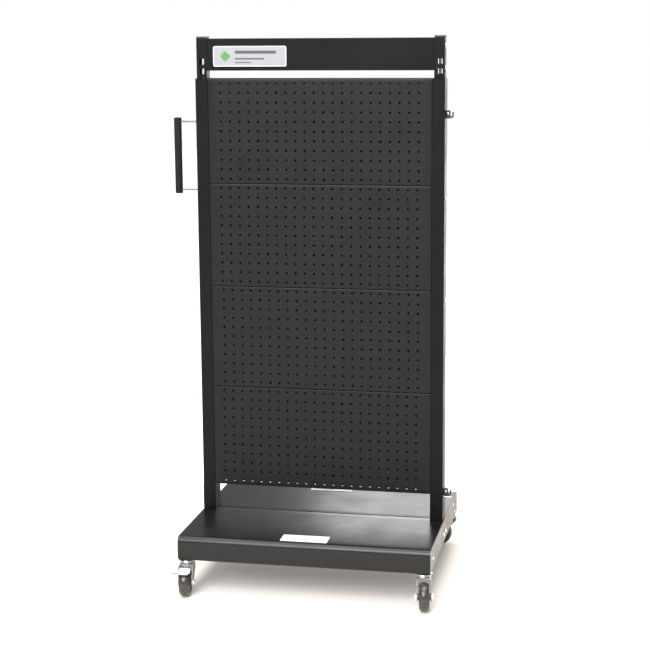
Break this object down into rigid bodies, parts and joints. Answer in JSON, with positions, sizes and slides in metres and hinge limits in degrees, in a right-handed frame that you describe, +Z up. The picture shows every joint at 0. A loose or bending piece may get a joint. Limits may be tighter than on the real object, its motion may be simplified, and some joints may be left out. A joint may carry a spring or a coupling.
{
  "type": "gondola shelving unit",
  "caption": "Double-sided black pegboard gondola on swivel casters, with base decks, slotted posts, a plain header panel and a side push handle, for hanging goods on hooks.",
  "frame": {"origin": "on the floor, under the middle of the overall bounding box; the posts and panels are 24 mm to the right of it because of the handle", "axes": "+Z up; -Y out of the front, the side with the badge; +X to the right of someone facing the front"},
  "size_m": [0.7594, 0.6595, 1.4611],
  "materials": {
    "black_paint": "satin black powder coat, very fine texture",
    "black_plastic": "moulded black, matt",
    "zinc": "bright zinc plate",
    "wheel_rubber": "smooth dark tread, slightly worn",
    "grip_rubber": "matt foam-like grip",
    "badge_silver": "satin silver-white badge with a lighter border",
    "label_white": null
  },
  "bodies": {
    "stand": {"post_left": "black_paint", "post_cap_left": "black_plastic", "post_sleeve_left": "black_paint", "post_socket_left": "black_paint", "base_side_left": "black_paint", "header_bolt_left_1": "zinc", "header_bolt_left_2": "zinc", "sleeve_screw_left_1": "zinc", "sleeve_screw_left_2": "zinc", "base_bolt_left_1": "zinc", "base_bolt_left_2": "zinc", "post_right": "black_paint", "post_cap_right": "black_plastic", "post_sleeve_right": "black_paint", "post_socket_right": "black_paint", "base_side_right": "black_paint", "header_bolt_right_1": "zinc", "header_bolt_right_2": "zinc", "sleeve_screw_right_1": "zinc", "sleeve_screw_right_2": "zinc", "base_bolt_right_1": "zinc", "base_bolt_right_2": "zinc", "base_rail": "black_paint", "deck_front": "black_paint", "deck_rear": "black_paint", "deck_label_front": "label_white", "deck_label_rear": "label_white", "peg_panel_front_1": "black_paint", "peg_panel_front_2": "black_paint", "peg_panel_front_3": "black_paint", "peg_panel_front_4": "black_paint", "peg_panel_rear_1": "black_paint", "peg_panel_rear_2": "black_paint", "peg_panel_rear_3": "black_paint", "peg_panel_rear_4": "black_paint", "header_panel": "black_paint", "header_badge": "badge_silver", "handle_rod": "zinc", "handle_grip": "grip_rubber", "side_hook_upper": "black_plastic", "side_hook_lower": "black_plastic", "caster_head_front_left": "zinc", "caster_head_front_right": "zinc", "caster_head_rear_left": "zinc", "caster_head_rear_right": "zinc"},
    "swivel_front_left": {"caster_fork_front_left": "zinc", "caster_axle_front_left": "zinc"},
    "wheel_front_left": {"caster_wheel_front_left": "wheel_rubber"},
    "pedal_front_left": {"brake_pedal_front_left": "zinc"},
    "swivel_front_right": {"caster_fork_front_right": "zinc", "caster_axle_front_right": "zinc"},
    "wheel_front_right": {"caster_wheel_front_right": "wheel_rubber"},
    "swivel_rear_left": {"caster_fork_rear_left": "zinc", "caster_axle_rear_left": "zinc"},
    "wheel_rear_left": {"caster_wheel_rear_left": "wheel_rubber"},
    "pedal_rear_left": {"brake_pedal_rear_left": "zinc"},
    "swivel_rear_right": {"caster_fork_rear_right": "zinc", "caster_axle_rear_right": "zinc"},
    "wheel_rear_right": {"caster_wheel_rear_right": "wheel_rubber"}
  },
  "joints": [
    {"name": "swivel_front_left", "type": "hinge", "parent": "stand", "child": "swivel_front_left", "pos_m": [-0.294, -0.26, 0.0893], "axis": [0, 0, 1], "continuous": true},
    {"name": "roll_front_left", "type": "hinge", "parent": "swivel_front_left", "child": "wheel_front_left", "pos_m": [-0.29086, -0.28984, 0.038], "axis": [0.9945, 0.1045, 0], "continuous": true},
    {"name": "brake_front_left", "type": "hinge", "parent": "swivel_front_left", "child": "pedal_front_left", "pos_m": [-0.29254, -0.27392, 0.0778], "axis": [0.9945, 0.1045, 0], "range_deg": [0, 8]},
    {"name": "swivel_front_right", "type": "hinge", "parent": "stand", "child": "swivel_front_right", "pos_m": [0.342, -0.26, 0.0893], "axis": [0, 0, 1], "continuous": true},
    {"name": "roll_front_right", "type": "hinge", "parent": "swivel_front_right", "child": "wheel_front_right", "pos_m": [0.34721, -0.28954, 0.038], "axis": [0.9848, 0.1736, 0], "continuous": true},
    {"name": "swivel_rear_left", "type": "hinge", "parent": "stand", "child": "swivel_rear_left", "pos_m": [-0.294, 0.26, 0.0893], "axis": [0, 0, 1], "continuous": true},
    {"name": "roll_rear_left", "type": "hinge", "parent": "swivel_rear_left", "child": "wheel_rear_left", "pos_m": [-0.29086, 0.28984, 0.038], "axis": [-0.9945, 0.1045, 0], "continuous": true},
    {"name": "brake_rear_left", "type": "hinge", "parent": "swivel_rear_left", "child": "pedal_rear_left", "pos_m": [-0.29254, 0.27392, 0.0778], "axis": [-0.9945, 0.1045, 0], "range_deg": [0, 8]},
    {"name": "swivel_rear_right", "type": "hinge", "parent": "stand", "child": "swivel_rear_right", "pos_m": [0.342, 0.26, 0.0893], "axis": [0, 0, 1], "continuous": true},
    {"name": "roll_rear_right", "type": "hinge", "parent": "swivel_rear_right", "child": "wheel_rear_right", "pos_m": [0.31246, 0.26521, 0.038], "axis": [-0.1736, -0.9848, 0], "continuous": true}
  ]
}
